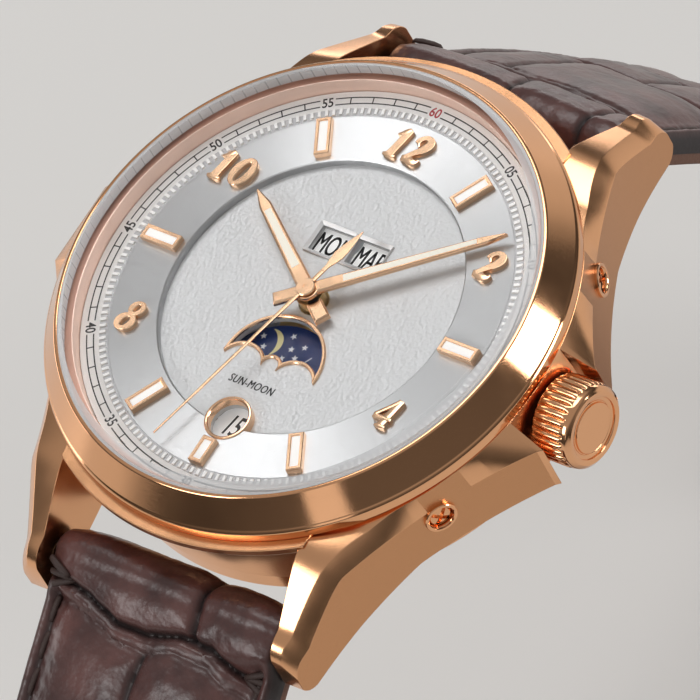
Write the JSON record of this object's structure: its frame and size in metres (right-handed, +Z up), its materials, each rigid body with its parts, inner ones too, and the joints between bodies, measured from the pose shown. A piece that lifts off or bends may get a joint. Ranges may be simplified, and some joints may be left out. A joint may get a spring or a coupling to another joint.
{
  "type": "automatic wristwatch",
  "caption": "Round wristwatch with day, month, date and sun-moon displays, a self-winding movement with a rotor, and a padded leather strap with a pin buckle.",
  "frame": {"origin": "on the floor under the dial's centre, on the face of the strap's tail that rests there", "axes": "+X to 3 o'clock, +Y to 12 o'clock, +Z up, out of the dial"},
  "size_m": [0.0433, 0.1041, 0.0739],
  "materials": {
    "rose_gold": "polished",
    "rose_gold_brushed": "brushed",
    "silver_dial": "satin",
    "white_track": "satin",
    "cream_inlay": "gloss",
    "calendar_print": "matt, printed",
    "sky_blue": "gloss, printed",
    "crystal_glass": "polished",
    "steel": "satin",
    "brass": "satin",
    "gasket_black": "matt",
    "gasket_white": "matt",
    "alligator_leather": "alligator grain, padded",
    "lining_leather": "smooth"
  },
  "bodies": {
    "case": {"case_middle": "rose_gold", "bezel": "rose_gold", "crystal": "crystal_glass", "crystal_gasket": "gasket_white", "case_back": "rose_gold_brushed", "back_crystal": "crystal_glass", "back_gasket": "gasket_black", "back_screws": "steel", "movement_holder": "gasket_white", "crown_tube": "steel", "corrector_collars": "rose_gold", "dial_plate": "silver_dial", "hour_ring": "silver_dial", "serrated_ring": "white_track", "minute_track": "white_track", "hour_bars": "rose_gold", "bar_inlays": "cream_inlay", "hour_numerals": "rose_gold", "calendar_frame": "silver_dial", "moon_frame": "rose_gold", "date_frame": "rose_gold", "calendar_plate": "brass", "main_plate": "brass", "train_bridge": "steel", "balance_cock": "steel", "rotor_bearing": "steel", "spring_bars": "steel"},
    "seconds": {"seconds_hand": "rose_gold"},
    "minutes": {"minute_hand": "rose_gold", "minute_hand_inlay": "cream_inlay", "center_wheel": "brass"},
    "hours": {"hour_hand": "rose_gold", "hour_hand_inlay": "cream_inlay", "hour_wheel": "brass"},
    "day": {"day_disc": "calendar_print"},
    "month": {"month_disc": "calendar_print"},
    "date": {"date_ring": "calendar_print"},
    "sun_moon": {"sun_moon_disc": "sky_blue"},
    "barrel": {"barrel": "brass"},
    "third": {"third_wheel": "brass"},
    "fourth": {"fourth_wheel": "brass"},
    "escape": {"escape_wheel": "brass"},
    "fork": {"pallet_fork": "steel"},
    "balance": {"balance_wheel": "brass"},
    "rotor": {"rotor": "rose_gold_brushed"},
    "clutch": {"sliding_pinion": "steel"},
    "crown": {"crown": "rose_gold", "winding_stem": "steel", "crown_gasket": "gasket_black"},
    "corrector_at_2": {"corrector_2": "rose_gold"},
    "corrector_at_4": {"corrector_4": "rose_gold"},
    "strap_12": {"strap_12_leather": "alligator_leather", "strap_12_lining": "lining_leather", "fixed_keeper": "alligator_leather", "buckle_bar": "steel"},
    "strap_6": {"strap_6_leather": "alligator_leather", "strap_6_lining": "lining_leather"},
    "loose_keeper": {"free_keeper": "alligator_leather"},
    "buckle": {"buckle_frame": "rose_gold"},
    "tongue": {"buckle_tongue": "rose_gold"}
  },
  "joints": [
    {"name": "seconds_turn", "type": "hinge", "parent": "case", "child": "seconds", "pos_m": [0, 0, 0.07079], "axis": [0, 0, 1], "continuous": true},
    {"name": "minutes_turn", "type": "hinge", "parent": "case", "child": "minutes", "pos_m": [0, 0, 0.07079], "axis": [0, 0, 1], "continuous": true},
    {"name": "hours_turn", "type": "hinge", "parent": "case", "child": "hours", "pos_m": [0, 0, 0.07079], "axis": [0, 0, 1], "continuous": true},
    {"name": "day_turn", "type": "hinge", "parent": "case", "child": "day", "pos_m": [-0.006, 0.0044, 0.07079], "axis": [0, 0, 1], "continuous": true},
    {"name": "month_turn", "type": "hinge", "parent": "case", "child": "month", "pos_m": [0.006, 0.0044, 0.07079], "axis": [0, 0, 1], "continuous": true},
    {"name": "date_turn", "type": "hinge", "parent": "case", "child": "date", "pos_m": [0, 0, 0.07079], "axis": [0, 0, 1], "continuous": true},
    {"name": "sun_moon_turn", "type": "hinge", "parent": "case", "child": "sun_moon", "pos_m": [0, -0.0064, 0.07079], "axis": [0, 0, 1], "continuous": true},
    {"name": "barrel_turn", "type": "hinge", "parent": "case", "child": "barrel", "pos_m": [-0.00467, 0.00467, 0.07079], "axis": [0, 0, 1], "continuous": true},
    {"name": "third_turn", "type": "hinge", "parent": "case", "child": "third", "pos_m": [0, -0.0045, 0.07079], "axis": [0, 0, 1], "continuous": true},
    {"name": "fourth_turn", "type": "hinge", "parent": "case", "child": "fourth", "pos_m": [0.003, -0.00546, 0.07079], "axis": [0, 0, 1], "continuous": true},
    {"name": "escape_turn", "type": "hinge", "parent": "case", "child": "escape", "pos_m": [0.0056, -0.0042, 0.07079], "axis": [0, 0, 1], "continuous": true},
    {"name": "fork_rock", "type": "hinge", "parent": "case", "child": "fork", "pos_m": [0.0052, -0.007, 0.07079], "axis": [0, 0, 1], "range_deg": [-6, 6]},
    {"name": "balance_swing", "type": "hinge", "parent": "case", "child": "balance", "pos_m": [0.0032, -0.0094, 0.07079], "axis": [0, 0, 1], "range_deg": [-135, 135]},
    {"name": "rotor_turn", "type": "hinge", "parent": "case", "child": "rotor", "pos_m": [0, 0, 0.07079], "axis": [0, 0, 1], "continuous": true},
    {"name": "crown_turn", "type": "hinge", "parent": "case", "child": "clutch", "pos_m": [0.019, 0, 0.06704], "axis": [1, 0, 0], "continuous": true},
    {"name": "crown_pull", "type": "slide", "parent": "clutch", "child": "crown", "axis": [1, 0, 0], "range_m": [0, 0.001]},
    {"name": "corrector_2_press", "type": "slide", "parent": "case", "child": "corrector_at_2", "axis": [-0.8785, -0.4778, 0], "range_m": [0, 0.0005], "stiffness_N_per_m": 800, "springref_m": -0.0003},
    {"name": "corrector_4_press", "type": "slide", "parent": "case", "child": "corrector_at_4", "axis": [-0.8785, 0.4778, 0], "range_m": [0, 0.0005], "stiffness_N_per_m": 800, "springref_m": -0.0003},
    {"name": "strap_12_swing", "type": "hinge", "parent": "case", "child": "strap_12", "pos_m": [0, 0.0207, 0.06409], "axis": [1, 0, 0], "range_deg": [-22, 35]},
    {"name": "strap_6_swing", "type": "hinge", "parent": "case", "child": "strap_6", "pos_m": [0, -0.0207, 0.06409], "axis": [1, 0, 0], "range_deg": [-35, 30]},
    {"name": "keeper_slide", "type": "slide", "parent": "strap_12", "child": "loose_keeper", "axis": [0, 0.309, -0.9511], "range_m": [-0.005, 0.005]},
    {"name": "buckle_turn", "type": "hinge", "parent": "strap_12", "child": "buckle", "pos_m": [0, 0.04158, 0.0016], "axis": [1, 0, 0], "range_deg": [-90, 60]},
    {"name": "tongue_turn", "type": "hinge", "parent": "buckle", "child": "tongue", "pos_m": [0, 0.04158, 0.0016], "axis": [1, 0, 0], "range_deg": [0, 100]}
  ],
  "couplings": [
    {"joint": "minutes_turn", "follows": "seconds_turn", "ratio": 0.016667},
    {"joint": "hours_turn", "follows": "seconds_turn", "ratio": 0.0013889},
    {"joint": "sun_moon_turn", "follows": "seconds_turn", "ratio": 0.00069444},
    {"joint": "third_turn", "follows": "seconds_turn", "ratio": -0.12596},
    {"joint": "fourth_turn", "follows": "seconds_turn", "ratio": 0.65498},
    {"joint": "escape_turn", "follows": "seconds_turn", "ratio": -3.4932},
    {"joint": "barrel_turn", "follows": "seconds_turn", "ratio": -0.002683}
  ]
}
